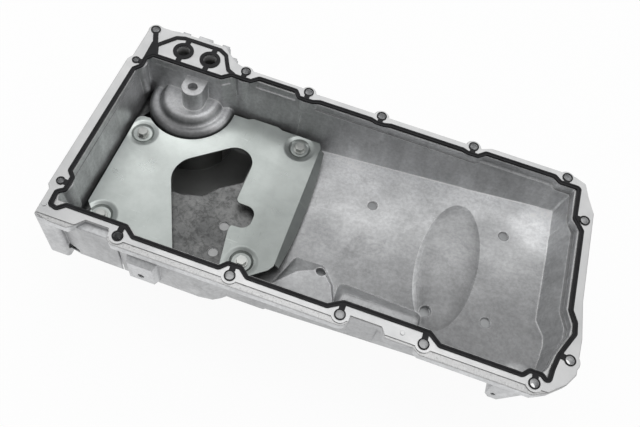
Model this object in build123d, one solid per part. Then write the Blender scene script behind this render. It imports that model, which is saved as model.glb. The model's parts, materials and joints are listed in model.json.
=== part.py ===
"""Engine oil pan: a die-cast aluminium rear-sump pan with its gasket, baffle, filter head and drain.

Stations are measured in millimetres from the rearmost near-side rail bolt: x runs to the front of the
engine, y runs across the pan to the filter side and z is up, with 0 on the sealing face. Each finished
piece is moved so that the origin is the centre of the four rail bolts of the rectangular pattern.
"""

import os
from math import atan, cos, degrees, hypot, radians, sin, sqrt, tan

from build123d import *

# Rails and bolt holes
rail_gap = 242.0
front_rail_x = 418.0
pattern_rail_x = 116.3
near_mid_x = [227.8, 310.6]
far_mid_x = [40.4, 203.1, near_mid_x[1]]
rail_hole_r = 4.4
small_hole_r = 3.3
near_boss_r = 10.5
far_boss_r = 8.6
rear_face_x = -89.5
rear_bolt_x = -79.2
front_near_bolt = (front_rail_x + 29.7, 34.0)
front_far_bolt = (front_rail_x + 24.8, rail_gap - 48.0)
corner_bolt = (-78.0, rail_gap + 17.0)
rear_bolts = [(rear_bolt_x, 35.8), (rear_bolt_x, rail_gap - 33.5)]

# Casting walls and depths
flange_t = 9.0
wall_t = 4.5
near_skin_y = -4.0
shelf_depth = 64.0
front_depth = 41.0
front_depth_x = 405.0
floor_slope = 0.11
sump_depth = 122.0
well_draft = 3.0
well_lap = 10.0
boss_column_depth = 46.0
boss_column_r = 9.5
boss_column_shift = 5.0
lug_edge_r = 4.0
lug_front_x = -62.0
near_lug_y = -7.8
lug_depth = 77.0
far_lug_depth = 62.0
near_lug_hole_r = 6.2
near_lug_hole = (2.0, 62.0)
far_lug_hole = (rail_gap - 7.0, 48.0)
hole_reach = 75.0
ejector_r = 5.7
ejector_depth = 1.7
ejector_pad = 2.5
platform_edge_r = 5.0
tray_ejectors = [(226.0, 165.0), (374.0, 172.0), (374.0, 64.0), (312.0, 56.0), (196.0, 62.0)]
shelf_ejectors = [(78.5, 80.0), (79.0, 46.5)]
mound_centre = (323.0, 117.0)
mound_half_x = 33.0
mound_half_y = 79.0
mound_rise = 7.5
mound_sink = 10.0
floor_edge_r = 4.5
tray_rear_x = 80.0
near_platform_depth = 52.0
mid_platform_depth = 36.0

# Ribs, pads and pockets outside
side_pad_x = 26.0
side_pad_w = 35.0
side_pad_h = 40.0
side_pad_depth = 38.0
side_pad_reach = 11.0
side_pad_taper = 20.0
side_pad_hole_r = 3.6
side_pad_hole_depth = 44.0
front_tab_x = front_rail_x - 32.0
front_tab_t = 10.0
front_tab_hole_r = 2.5
rear_rib_y = [36.0, 66.0, 96.0, 126.0, 156.0, 186.0]
rear_rib_w = 4.0
gusset_y = [146.0, 186.0]
gusset_w = 5.0
floor_rib_y = [60.0, 120.0, 180.0]
floor_rib_w = 3.0
floor_rib_h = 3.0
far_tabs = [(-44.5, 13.0, 30.5), (-21.0, 21.0, 32.0), (4.5, 13.0, 30.5), (20.0, 10.0, 17.0)]
far_tab_low = 14.0
far_tab_high = 3.0
near_wall_pockets = [(-58.0, -34.0), (-30.0, -11.0)]
recess_depth = 60.0

# Filter head and oil ports
filter_centre = (-16.0, rail_gap - 28.0)
dome_r = 50.0
dome_depth = 48.0
dome_edge_r = 8.0
head_edge_r = 8.5
dome_blend_r = 4.0
head_r = 36.0
head_depth = 38.0
head_face_depth = 58.0
groove_inner_r = 14.0
groove_outer_r = 29.0
groove_depth = 6.0
port_r = 7.5
port_inlet = (-36.1, rail_gap - 0.4)
port_outlet = (-3.5, rail_gap - 0.4)
port_boss_r = 14.0
port_block_depth = 50.0
port_floor = 6.0
gallery_r = 5.5
outlet_level = 27.0
well_near_y = 100.0
stub_centre = (-10.1, rail_gap - 35.6)
stub_r = 12.8
stub_depth = 10.0
stub_hole_r = 5.5
stub_hole_depth = 9.0

# Baffle
baffle_t = 1.6
baffle_depth = 52.0
baffle_bend_x = 147.0
baffle_lip_run = 10.0
baffle_lip_drop = 12.0
dome_clearance = 2.6
baffle_bolts = [(-50.5, rail_gap - 89.3), (124.1, rail_gap - 40.5), (113.2, 41.5), (-46.2, 38.8)]
emboss_r = 13.0
emboss_slope = 2.5
emboss_depth = 1.8
m6_r = 3.0
m6_head_af = 10.0
m6_head_h = 5.0
m6_washer_r = 7.0
m6_washer_t = 1.2
m6_length = 12.0
thread_gap = 0.1
column_r = 8.0
m6_chamfer = 0.6
m6_clearance = 0.4

# Gasket
carrier_t = 1.2
bead_w = 4.6
bead_h = 2.2
bead_groove_w = 0.9
bead_groove_depth = 0.5
bead_corner_r = 2.9
port_bead_corner_r = 3.0
ring_w = 1.3
stem_w = 6.0
port_ring_w = 4.4
carrier_near_y = -4.0
carrier_margin = 0.8
tab_r = 8.5
rivet_r = 1.4
rivet_head_r = 2.4
rivet_head_h = 0.7
rivet_length = 4.0
rivet_places = [(-81.0, 6.0), (289.0, 3.5)]

# Drain
drain_x = 10.0
drain_lift = 18.0
drain_r = 6.0
drain_boss_r = 13.0
drain_boss_h = 4.0
drain_plug_af = 15.0
drain_hex_h = 7.0
drain_flange_r = 10.0
drain_flange_t = 2.0
drain_seal_t = 1.5
drain_grip = 13.0

# Filter nipple and bypass valve
nipple_r = 10.2
nipple_bore_r = 6.0
nipple_grip = 11.0
nipple_stickout = 17.0
nipple_relief_r = 9.4
nipple_relief_w = 1.5
nipple_chamfer = 1.0
valve_offset = 21.5
valve_angle = 225.0
valve_body_r = 7.0
valve_wall = 1.4
valve_height = 10.0
valve_pocket_depth = 12.5
valve_port_depth = 2.5
valve_drilling_r = 2.6
valve_top_t = 1.0
valve_plate_gap = 0.3
valve_retainer_t = 1.0
valve_seat_r = 3.5
valve_plate_r = 4.8
valve_plate_t = 0.9
valve_lip_r = 3.2
spring_r = 3.9
spring_wire_r = 0.35
spring_turns = 4.0
valve_gap = 0.05

# Gallery cover beside the filter
cover_w = 56.0
cover_h = 30.0
cover_t = 3.0
cover_gasket_t = 0.8
cover_level = 34.0
cover_bolt_spacing = 42.0
cover_pad_t = 4.0
cover_window_w = 26.0
cover_window_h = 16.0
cover_window_depth = 5.0
cover_window_r = 4.0
cover_corner_r = 6.0
cover_rise = 1.5
cover_bolt_grip = 8.0

all_holes = [(0.0, 0.0), (pattern_rail_x, 0.0), (front_rail_x, 0.0)]
all_holes += [(x, 0.0) for x in near_mid_x]
all_holes += [(pattern_rail_x, rail_gap), (front_rail_x, rail_gap)]
all_holes += [(x, rail_gap) for x in far_mid_x]
all_holes += [front_near_bolt, front_far_bolt, corner_bolt]

drain_level = -sump_depth + drain_lift
valve_top = -head_face_depth + valve_pocket_depth

origin = Location((-(pattern_rail_x + front_rail_x) / 2, -rail_gap / 2, 0))


def outset(points, distance):
    """Move each side of an anticlockwise polygon outwards by a distance."""
    moved = []
    count = len(points)
    for index in range(count):
        ax, ay = points[index - 1]
        bx, by = points[index]
        cx, cy = points[(index + 1) % count]
        first = hypot(bx - ax, by - ay)
        second = hypot(cx - bx, cy - by)
        n1 = ((by - ay) / first, -(bx - ax) / first)
        n2 = ((cy - by) / second, -(cx - bx) / second)
        scale = distance / (1 + n1[0] * n2[0] + n1[1] * n2[1])
        moved.append((bx + (n1[0] + n2[0]) * scale, by + (n1[1] + n2[1]) * scale))
    return moved


def face_at(points, radius, level=0.0):
    """A flat face with rounded corners at a height."""
    outline = FilletPolyline(*points, radius=radius, close=True)
    return Pos(0, 0, level) * make_face(outline)


def slab(points, radius, top, bottom):
    """A straight-sided block between two heights."""
    return extrude(face_at(points, radius, bottom), amount=top - bottom)


def leaning(top_points, foot_points, radius, foot_level, bottom):
    """A block whose sides lean from the sealing face through a foot outline, down to a bottom level."""
    share = bottom / foot_level
    low = []
    for (tx, ty), (fx, fy) in zip(top_points, foot_points):
        low.append((tx + (fx - tx) * share, ty + (fy - ty) * share))
    return loft([face_at(top_points, radius), face_at(low, radius, bottom)], ruled=True)


def post(place, radius, top, bottom):
    """An upright cylinder."""
    return Pos(place[0], place[1], (top + bottom) / 2) * Cylinder(radius, top - bottom)


def rod(start, end, radius):
    """A cylinder between two points."""
    line = Line(start, end)
    plane = Plane(origin=line @ 0, z_dir=line % 0)
    return extrude(plane * Circle(radius), amount=line.length)


def block(x0, x1, y0, y1, z0, z1):
    """A rectangular block given by its limits."""
    centre = Pos((x0 + x1) / 2, (y0 + y1) / 2, (z0 + z1) / 2)
    return centre * Box(x1 - x0, y1 - y0, z1 - z0)


def upright_plate(points, y0, y1):
    """A plate drawn in side view and as wide as from y0 to y1."""
    drawn = make_face(Polyline(*[(x, y0, z) for x, z in points], close=True))
    return extrude(drawn, amount=y1 - y0, dir=(0, 1, 0))


def floor_height(x):
    """Height of the sloping floor of the front tray."""
    return -front_depth - (front_depth_x - x) * floor_slope


def above_floor(drop):
    """All the space above the sloping floor, lowered by a distance."""
    x0 = rear_face_x
    x1 = front_rail_x + 60
    side = [(x0, floor_height(x0) - drop), (x1, floor_height(x1) - drop), (x1, 20), (x0, 20)]
    return upright_plate(side, -60, rail_gap + 60)


def flange_outline(margin=0.0):
    """The flange seen from above, with a lobe at each bolt."""
    far = rail_gap
    front = front_rail_x
    points = [
        (-85.5, -5), (-70, -9), (-50, -9.5), (-42, -3), (-36, 4), (-12, 4), (-4, -near_boss_r),
        (near_mid_x[0], -near_boss_r), (near_mid_x[0] + 10, 2), (near_mid_x[1] - 42, 2),
        (near_mid_x[1] - 36, -7), (near_mid_x[1] - 8, -7), (near_mid_x[1] - 2, -11.5), (front, -11.5),
        (front + 15, -4), (front + 30, 9), (front + 38, 22), (front + 39, 60), (front + 35, 100),
        (front + 34, far - 35), (front + 26, far - 16), (front + 21, far), (front + 8, far + 5),
        (front - 10, far + 6), (far_mid_x[2] + 20, far + 6), (far_mid_x[2] + 10, far + 1.5),
        (pattern_rail_x + 10, far + 1.5), (pattern_rail_x - 10, far + 4), (far_mid_x[0], far + 4.5),
        (27, far + 8), (14, far + 18), (7, far + 25.5), (-52, far + 25.5), (-60, far + 24),
        (-82, far + 24), (-86, far + 20), (-86, far - 28), (rear_face_x, far - 34),
        (rear_face_x, 29), (-86, 24),
    ]
    outline = Sketch() + face_at(outset(points, -margin), 2.0)
    for place in all_holes:
        boss_r = near_boss_r if place[1] < far / 2 else far_boss_r
        outline += Pos(*place) * Circle(boss_r - margin)
    return outline


def opening_points():
    """The inner edge of the flange."""
    far = rail_gap
    front = front_rail_x
    near1, near2 = near_mid_x
    pattern = pattern_rail_x
    return [
        (-73.5, 50), (-67, 45), (-67, 27), (-73.5, 21), (-72, 15.5), (4, 15.5), (16, 7.5),
        (pattern - 13, 7.5), (pattern - 6, 15.5), (pattern + 7, 15.5), (pattern + 15, 7.5),
        (near1 - 14, 7.5), (near1 + 1, 17), (near2 + 2, 17), (near2 + 15, 7.5), (front - 12, 7.5),
        (front - 6, 14), (front + 6, 14), (front + 11, 20), (front + 15, 35), (front + 20, 46),
        (front + 26, 58), (front + 27, 70), (front + 20, 86), (front + 19.5, far - 60),
        (front + 11, far - 51), (front + 10, far - 12), (front - 8, far - 12), (front - 14, far - 7),
        (far_mid_x[2] + 14, far - 7), (far_mid_x[2] + 7, far - 13), (pattern + 14, far - 12),
        (pattern + 8, far - 16), (pattern - 8, far - 16), (pattern - 13, far - 8), (57, far - 8),
        (50, far - 15), (26, far - 15), (18, far - 22), (-64, far - 22), (-67.5, far - 27),
        (-67.5, far - 40), (-73.5, far - 47),
    ]


tray_top = [
    (120, 8), (front_rail_x - 8, 8), (front_rail_x + 6, 12), (front_rail_x + 11, 20),
    (front_rail_x + 15, 34), (front_rail_x + 20, 46), (front_rail_x + 26, 58), (front_rail_x + 26.5, 70),
    (front_rail_x + 20, 86), (front_rail_x + 19.5, rail_gap - 60), (front_rail_x + 11, rail_gap - 50),
    (front_rail_x + 10, rail_gap - 12), (front_rail_x - 7, rail_gap - 12),
    (front_rail_x - 14, rail_gap - 7), (far_mid_x[2] + 14, rail_gap - 7),
    (far_mid_x[2] + 7, rail_gap - 12.5), (tray_rear_x, rail_gap - 12.5), (tray_rear_x, 130), (106, 112),
    (120, 64),
]
tray_foot = [
    (120, 11), (front_rail_x - 12, 11), (front_rail_x + 2, 14), (front_rail_x + 8, 22),
    (front_rail_x + 12, 34), (front_rail_x + 13.5, 46), (front_rail_x + 14, 56), (front_rail_x + 13, 67),
    (front_rail_x + 3.5, 82), (front_rail_x + 3, rail_gap - 64), (front_rail_x + 3, rail_gap - 50),
    (front_rail_x + 2.5, rail_gap - 20), (front_rail_x - 9, rail_gap - 20.1),
    (front_rail_x - 16, rail_gap - 19.4), (far_mid_x[2] + 14, rail_gap - 18.9),
    (far_mid_x[2] + 6, rail_gap - 19.4), (tray_rear_x, rail_gap - 17.3), (tray_rear_x, 130),
    (106, 112), (120, 64),
]
tray_low = floor_height(tray_rear_x) - wall_t - floor_rib_h
tray_corners = [3, 6, 6, 8, 8, 8, 10, 12, 12, 8, 8, 3, 2, 4, 4, 4, 3, 3, 3, 3]
rear_top = [
    (-73.5, 15.5), (4, 15.5), (15, 8), (150, 8), (150, rail_gap - 60), (114, rail_gap - 40),
    (114, rail_gap - 8), (34, rail_gap - 8), (20, rail_gap - 22), (-73.5, rail_gap - 22),
]
rear_foot = [
    (-70, 18), (4, 18), (15, 10), (150, 10), (150, rail_gap - 60), (114, rail_gap - 40),
    (114, rail_gap - 19), (36, rail_gap - 19), (22, rail_gap - 23.5), (-70, rail_gap - 23.5),
]
well_top = [
    (-68, well_near_y), (20, well_near_y), (42, 107), (56, 124), (78, 140), (78, rail_gap - 21),
    (-45, rail_gap - 21), (-68, rail_gap - 64),
]


def well(wall, top, bottom):
    """The deep part of the sump, drawn in by its draft."""
    spread = outset(well_top, wall)
    lean = (sump_depth - shelf_depth) * tan(radians(well_draft))
    low = outset(spread, -lean)
    high = outset(spread, (top + shelf_depth) * tan(radians(well_draft)))
    return loft([face_at(high, 5, top), face_at(low, 5, bottom)], ruled=True)


def dome():
    """The raised filter head seen from inside the pan, with its stub."""
    ring = post(filter_centre, dome_r, -dome_depth, -sump_depth - 20)
    head = post(filter_centre, head_r, -head_depth, -dome_depth)
    raised = fillet(ring.edges().sort_by(Axis.Z)[-1:], dome_edge_r)
    raised += fillet(head.edges().sort_by(Axis.Z)[-1:], head_edge_r)
    circles = raised.edges().filter_by(GeomType.CIRCLE)
    joint = circles.filter_by_position(Axis.Z, -dome_depth - 0.1, -dome_depth + 0.1)
    raised = fillet(joint.sort_by(SortBy.LENGTH)[:1], dome_blend_r)
    raised += post(stub_centre, stub_r, -stub_depth, -dome_depth)
    x0 = stub_centre[0] - stub_r
    x1 = stub_centre[0] + stub_r
    raised += block(x0, x1, stub_centre[1], port_inlet[1], -dome_depth, -stub_depth)
    return raised


def outer_body():
    """The outside of the casting before it is hollowed."""
    body = extrude(flange_outline(), amount=-flange_t)
    tray_outside = (outset(tray_top, wall_t), outset(tray_foot, wall_t))
    body += leaning(*tray_outside, tray_corners, -front_depth, tray_low) & above_floor(wall_t)
    rear_outside = (outset(rear_top, wall_t), outset(rear_foot, wall_t))
    body += leaning(*rear_outside, 4, -shelf_depth, -shelf_depth - wall_t)
    skin = [
        (-64, near_skin_y + 3), (-50, near_skin_y), (84, near_skin_y - 1), (99, near_skin_y + 1),
        (107, 2), (118, 12), (118, 20), (-64, 20),
    ]
    body += slab(skin, 3, -flange_t / 2, -shelf_depth - wall_t)
    body += well(wall_t, -shelf_depth + well_lap, -sump_depth - wall_t)
    return body + rear_lugs() + near_pads() + ribs() + filter_side()


def rear_lugs():
    """The two lugs that meet the bell housing."""
    x0 = -86
    far = rail_gap
    lug = block(x0, lug_front_x, near_lug_y, 12, -lug_depth, -1)
    lugs = fillet(lug.edges().filter_by(Axis.Z).sort_by(Axis.Y)[:2], lug_edge_r)
    lug = block(x0, lug_front_x - 4, far - 20, far + 2, -far_lug_depth, -1)
    return lugs + fillet(lug.edges().filter_by(Axis.Z).sort_by(Axis.Y)[-2:], lug_edge_r)


def near_pads():
    """The side pad and the bracket tab on the near wall."""
    middle = (side_pad_x + 0.5, near_skin_y + 1, -side_pad_depth)
    face = Plane(origin=middle, x_dir=(1, 0, 0), z_dir=(0, -1, 0))
    pads = extrude(face * Rectangle(side_pad_w, side_pad_h), amount=side_pad_reach, taper=side_pad_taper)
    x0 = front_tab_x
    tab = [(x0, -4), (x0 + 1, -44), (x0 + 6, -51), (x0 + 15, -51), (x0 + 32, -8)]
    pads += upright_plate(tab, -8, front_tab_t - 8)
    web = [(x0 + 2, -8), (x0 + 14, -8), (x0 + 14, -40), (x0 + 2, -40)]
    return pads + upright_plate(web, 0, 14)


def ribs():
    """Ribs of the rear wall, of the well and under the tray floor."""
    plates = Part()
    for y in rear_rib_y:
        side = [(-74, -6), (-86, -6), (-86, -16), (-74, -46)]
        plates += upright_plate(side, y - rear_rib_w / 2, y + rear_rib_w / 2)
    foot = floor_height(200)
    for y in gusset_y:
        side = [(70, -60), (70, -sump_depth + 6), (200, foot - wall_t - 1), (200, foot)]
        plates += upright_plate(side, y - gusset_w / 2, y + gusset_w / 2)
    x0 = 110
    x1 = front_rail_x - 10
    low = wall_t + floor_rib_h
    for y in floor_rib_y:
        side = [(x0, floor_height(x0)), (x0, floor_height(x0) - low), (x1, floor_height(x1) - low)]
        side += [(x1, floor_height(x1))]
        plates += upright_plate(side, y - floor_rib_w / 2, y + floor_rib_w / 2)
    return plates


def filter_side():
    """The filter head, the port block, the pad of the gallery cover and the far flange tabs."""
    side = post(filter_centre, head_r + 2, -head_depth, -head_face_depth)
    for place in (port_inlet, port_outlet):
        side += post(place, port_boss_r, -1, -port_block_depth)
    x0, y0 = port_inlet
    x1 = port_outlet[0]
    side += block(x0, x1, y0 - port_boss_r, y0 + port_boss_r, -port_block_depth, -1)
    side += block(x0 - 6, x1 + 8, y0 - 26, y0, -port_block_depth, -1)
    middle = (x0 + x1) / 2
    face_y = y0 + port_boss_r + cover_pad_t
    low = -cover_level - cover_h / 2
    side += block(middle - cover_w / 2, middle + cover_w / 2, y0 + 2, face_y, low, low + cover_h)
    for x, width, reach in far_tabs:
        end = rail_gap + reach - width / 4
        side += block(x - width / 2, x + width / 2, y0, end, -far_tab_low, -far_tab_high)
        level = -(far_tab_low + far_tab_high) / 2
        side += Pos(x, end, level) * Box(width - 4, width / 2, far_tab_low - far_tab_high)
    return side


def hollow():
    """The inside of the pan, with the filter dome left standing."""
    space = slab(opening_points(), 2.5, 1, -flange_t)
    space += leaning(tray_top, tray_foot, tray_corners, -front_depth, tray_low) & above_floor(0)
    rear = leaning(rear_top, rear_foot, 5, -shelf_depth, -shelf_depth)
    space += fillet(rear.faces().sort_by(Axis.Z)[0].edges(), floor_edge_r)
    deep = well(0, -shelf_depth + well_lap, -sump_depth)
    space += fillet(deep.faces().sort_by(Axis.Z)[0].edges(), floor_edge_r)
    return space - dome()


def bolt_columns():
    """Columns under the bolt holes that stand on the inside of the wall."""
    columns = post(front_near_bolt, boss_column_r, -1, -boss_column_depth)
    for place in rear_bolts:
        columns += post((place[0] + 3, place[1]), boss_column_r, -1, -boss_column_depth)
    for x in (front_rail_x, pattern_rail_x):
        columns += post((x, boss_column_shift), boss_column_r, -1, -boss_column_depth)
    for x in (pattern_rail_x, far_mid_x[0]):
        columns += post((x, rail_gap - boss_column_shift), boss_column_r, -1, -boss_column_depth)
    return columns


def near_platform():
    """The many-sided rise of the floor between the baffle and the tray."""
    foot = [(127, 4), (222, 4), (222, 34), (214, 58), (196, 78), (165, 76), (152, 40)]
    top = [(148, 2), (220, 2), (219, 30), (210, 50), (196, 64), (172, 52), (152, 30)]
    low = floor_height(190) - 3
    return loft([face_at(foot, 4, low), face_at(top, 5, -near_platform_depth)], ruled=True)


def mid_platform():
    """The square platform beside the near wall."""
    foot = [(218, 2), (312, 2), (312, 62), (218, 62)]
    top = [(222, 2), (308, 2), (306, 40), (224, 40)]
    low = floor_height(260) - 6
    step = loft([face_at(foot, 6, low), face_at(top, 6, -mid_platform_depth)], ruled=True)
    return fillet(step.faces().sort_by(Axis.Z)[-1].edges(), platform_edge_r)


def inner_details():
    """Bolt columns, platforms, the mound and the baffle bosses inside the pan."""
    details = bolt_columns() + near_platform() + mid_platform()
    details += block(near_mid_x[0] - 2, near_mid_x[1] + 3, 4, 17, -40, -1)
    details += mound(0)
    for place in baffle_bolts:
        details += post(place, column_r, -baffle_depth - baffle_t - emboss_depth, -sump_depth - 1)
    return details


def mound(drop):
    """Ellipsoid whose cap is the oval rise of the tray floor."""
    height = mound_rise + mound_sink
    share = sqrt(1 - (mound_sink / height) ** 2)
    shape = scale(Sphere(1), by=(mound_half_x / share, mound_half_y / share, height))
    tilt = Rot(0, -degrees(atan(floor_slope)), 0)
    level = floor_height(mound_centre[0]) - mound_sink - drop
    return Pos(mound_centre[0], mound_centre[1], level) * tilt * shape


def oilways():
    """Ports, filter bores, drillings and the valve pocket."""
    cx, cy = filter_centre
    seat = -head_face_depth
    cut = post(filter_centre, dome_r - wall_t, -dome_depth - wall_t, -sump_depth - 30)
    cut -= post(filter_centre, head_r + 2, -dome_depth, seat)
    cut += post(filter_centre, groove_outer_r, seat + groove_depth, seat - 1)
    cut -= post(filter_centre, groove_inner_r, seat + groove_depth, seat)
    cut += post(filter_centre, nipple_r + thread_gap, seat + nipple_grip, seat - 1)
    cut += post(filter_centre, gallery_r, -outlet_level + 2, seat)
    cut += post(port_inlet, port_r, 1, -port_block_depth + port_floor)
    cut += post(port_outlet, port_r, 1, -outlet_level - 3)
    cut += rod((port_outlet[0], port_outlet[1], -outlet_level), (cx, cy, -outlet_level), gallery_r)
    start = (port_inlet[0], port_inlet[1], -port_block_depth + port_floor + 2)
    cut += rod(start, (cx - 9, cy + 18, seat + 2), gallery_r)
    cut += post(stub_centre, stub_hole_r, 1, -stub_depth - stub_hole_depth)
    return cut + valve_pocket()


def valve_place():
    """Centre of the bypass valve in the filter head."""
    turn = radians(valve_angle)
    return filter_centre[0] + valve_offset * cos(turn), filter_centre[1] + valve_offset * sin(turn)


def valve_pocket():
    """The pocket of the bypass valve and its drilling to the middle of the head."""
    place = valve_place()
    cut = post(place, valve_body_r, valve_top, -head_face_depth)
    cut += post(place, valve_seat_r, valve_top + valve_port_depth, valve_top)
    start = (place[0], place[1], valve_top + 2)
    return cut + rod(start, (filter_centre[0], filter_centre[1], valve_top + 3), valve_drilling_r)


def gasket_side_holes():
    """Holes that open in the sealing face or in the baffle bosses."""
    cut = Part()
    for place in all_holes:
        cut += post(place, rail_hole_r, 1, -hole_reach)
    for place in rear_bolts:
        cut += post(place, small_hole_r, 1, -hole_reach)
    for place in rivet_places:
        cut += post(place, rivet_r, 1, -rivet_length)
    for place in baffle_bolts:
        cut += post(place, m6_r, -baffle_depth, -baffle_depth - emboss_depth - m6_length - 1)
    return cut


def ejector_marks():
    """Shallow round marks of the ejector pins."""
    cut = Part()
    for x, y in tray_ejectors:
        level = floor_height(x)
        cut += post((x, y), ejector_r, level + 20, level - ejector_depth)
    for place in shelf_ejectors:
        cut += post(place, ejector_r, -shelf_depth + 1, -shelf_depth - ejector_depth)
    return cut


def ejector_pads():
    """Thickened floor under the ejector marks."""
    pads = Part()
    for x, y in tray_ejectors:
        level = floor_height(x) - ejector_depth
        pads += post((x, y), ejector_r + ejector_pad, level + ejector_depth / 2, level - wall_t)
    for place in shelf_ejectors:
        level = -shelf_depth - ejector_depth
        pads += post(place, ejector_r + ejector_pad, level + ejector_depth / 2, level - wall_t)
    return pads


def side_holes():
    """Holes and recesses that open in the outside of the walls."""
    cut = extrude(cover_plane(0) * cover_window(), amount=-cover_window_depth)
    for side in (-1, 1):
        tapped = Pos(side * cover_bolt_spacing / 2, 0) * Circle(m6_r)
        cut += extrude(cover_plane(0) * tapped, amount=-cover_bolt_grip - 0.5)
    y, depth = near_lug_hole
    cut += rod((-95, y, -depth), (-50, y, -depth), near_lug_hole_r)
    y, depth = far_lug_hole
    cut += rod((-95, y, -depth), (-60, y, -depth), near_lug_hole_r)
    x = side_pad_x
    depth = side_pad_hole_depth
    cut += rod((x, near_skin_y - 12, -depth), (x, near_skin_y + 4, -depth), side_pad_hole_r)
    x = front_tab_x + 8
    cut += rod((x, -12, -40), (x, -2, -40), front_tab_hole_r)
    x0 = near_mid_x[0] + 11
    cut += block(x0, near_mid_x[1] - 43, -14, 8, -recess_depth, -flange_t - 0.01)
    for x0, x1 in near_wall_pockets:
        cut += block(x0, x1, near_skin_y + wall_t, 15.5 - wall_t, -hole_reach, -flange_t - wall_t)
    return cut


def pan_casting():
    """The pan itself."""
    outside = outer_body()
    casting = outside - hollow()
    face_y = well_near_y - wall_t
    boss_start = (drain_x, face_y - drain_boss_h, drain_level)
    casting += rod(boss_start, (drain_x, face_y + 8.5, drain_level), drain_boss_r)
    casting += inner_details() & outside
    casting -= rod((drain_x, face_y - 15.5, drain_level), (drain_x, face_y + 14.5, drain_level), drain_r)
    casting -= mound(wall_t)
    casting += ejector_pads()
    casting -= oilways()
    return casting - side_holes() - gasket_side_holes() - ejector_marks()


def bead_path():
    """Centre line of the sealing bead round the pan."""
    far = rail_gap
    front = front_rail_x
    near1, near2 = near_mid_x
    pattern = pattern_rail_x
    points = [
        (-76.5, 50), (-70.5, 44), (-70.5, 28), (-77, 23), (-76, 8), (-68, 6), (-61, 12.5),
        (3, 12.5), (14, 4), (pattern - 13, 4), (pattern - 6, 11.5), (pattern + 7, 11.5),
        (pattern + 16, 4), (near1 - 14, 4), (near1, 13), (near2 + 3, 13), (near2 + 15, 4),
        (front - 12, 4), (front - 6, 10.5), (front + 6, 10.5), (front + 13, 4), (front + 15, 20),
        (front + 19, 36), (front + 24, 47), (front + 31, 62), (front + 30, 74), (front + 24, 86),
        (front + 23.5, far - 62), (front + 14.5, far - 49), (front + 14.5, far - 9),
        (front - 7, far - 9), (front - 14, far - 3.5), (far_mid_x[2] + 15, far - 3.5),
        (far_mid_x[2] + 7, far - 10.5), (far_mid_x[2] - 5, far - 10.5),
        (far_mid_x[2] - 11, far - 8.5), (far_mid_x[1] + 13, far - 8.5),
        (far_mid_x[1] + 6, far - 10.5), (far_mid_x[1] - 4, far - 10.5),
        (far_mid_x[1] - 10, far - 8.5), (pattern + 16, far - 8.5), (pattern + 8, far - 11.5),
        (pattern - 8, far - 11.5), (pattern - 14, far - 3.5), (58, far - 3.5), (50, far - 11),
        (27, far - 11), (18, far - 19), (-65, far - 19), (-71, far - 27), (-71, far - 39),
        (-76.5, far - 46),
    ]
    return FilletPolyline(*points, radius=bead_corner_r, close=True)


def port_bead_path():
    """Centre line of the bead that loops round the two oil ports."""
    far = rail_gap
    points = [
        (-70, far - 8), (-62, far + 2), (-51, far + 15), (-42, far + 18), (2, far + 18), (11, far + 13),
        (16, far + 3), (21, far - 6), (30, far - 10.5),
    ]
    return FilletPolyline(*points, radius=port_bead_corner_r)


def stem(hole, target):
    """The rubber bridge from a bolt ring to the bead."""
    line = Line(hole, target)
    return trace(line, stem_w)


def upper_rubber():
    """The rubber that lies on the carrier: bolt rings, port rings and the bridges to the bead."""
    far = rail_gap
    front = front_rail_x
    shape = Sketch() + trace(port_bead_path(), bead_w)
    blob = [(-73, far - 30), (-74, far - 2), (-66, far - 1), (-60, far - 17), (-66, far - 30)]
    shape += make_face(Polyline(*blob, close=True))
    for place in (port_inlet, port_outlet):
        shape += Pos(*place) * Circle(port_r + port_ring_w)
        shape += Pos(place[0], place[1]) * Rectangle(stem_w, 38)
    stems = [((x, 0), (x, 12)) for x in [0, pattern_rail_x] + near_mid_x]
    stems += [((front, 0), (front, 10)), (front_near_bolt, (front + 19, 36))]
    stems += [(corner_bolt, (-70, far - 2))]
    stems += [((x, far), (x, far - 10)) for x in [pattern_rail_x, front] + far_mid_x]
    stems += [(front_far_bolt, (front + 15, far - 48)), (rear_bolts[0], (-71, 35.8))]
    stems += [(rear_bolts[1], (-72, far - 33.5))]
    for hole, target in stems:
        shape += stem(hole, target)
    for place in all_holes:
        shape += Pos(*place) * Circle(rail_hole_r + ring_w)
    for place in rear_bolts:
        shape += Pos(*place) * Circle(small_hole_r + ring_w)
    return shape


def gasket_holes():
    """Every hole that passes through the gasket."""
    cut = Sketch()
    for place in all_holes:
        cut += Pos(*place) * Circle(rail_hole_r)
    for place in rear_bolts:
        cut += Pos(*place) * Circle(small_hole_r)
    for place in (port_inlet, port_outlet):
        cut += Pos(*place) * Circle(port_r)
    return cut


def gasket_bead():
    """Black rubber bead along the inner edge, with the rings and bridges on top of the carrier."""
    bead = extrude(trace(bead_path(), bead_w), amount=bead_h)
    on_top = extrude(Pos(0, 0, carrier_t) * (upper_rubber() - gasket_holes()), amount=bead_h - carrier_t)
    inside = extrude(make_face(bead_path()), amount=bead_h)
    groove_floor = Pos(0, 0, bead_h - bead_groove_depth)
    groove = extrude(groove_floor * trace(bead_path(), bead_groove_w), amount=bead_h)
    bead += on_top - inside
    return bead - groove - extrude(gasket_holes(), amount=bead_h)


def gasket_carrier():
    """Thin aluminium frame that carries the bead."""
    front = front_rail_x
    limit = Pos(front / 2, rail_gap / 2 + 20) * Rectangle(front * 2, rail_gap - 2 * carrier_near_y + 40)
    shape = flange_outline(carrier_margin) & limit
    for place in [(0, 0), (pattern_rail_x, 0), (front, 0)] + [(x, 0) for x in near_mid_x]:
        shape += Pos(*place) * Circle(tab_r)
    shape -= make_face(bead_path())
    shape -= trace(bead_path(), bead_w)
    shape -= gasket_holes()
    for place in rivet_places:
        shape -= Pos(*place) * Circle(rivet_r + valve_gap)
    return extrude(shape, amount=carrier_t)


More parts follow.
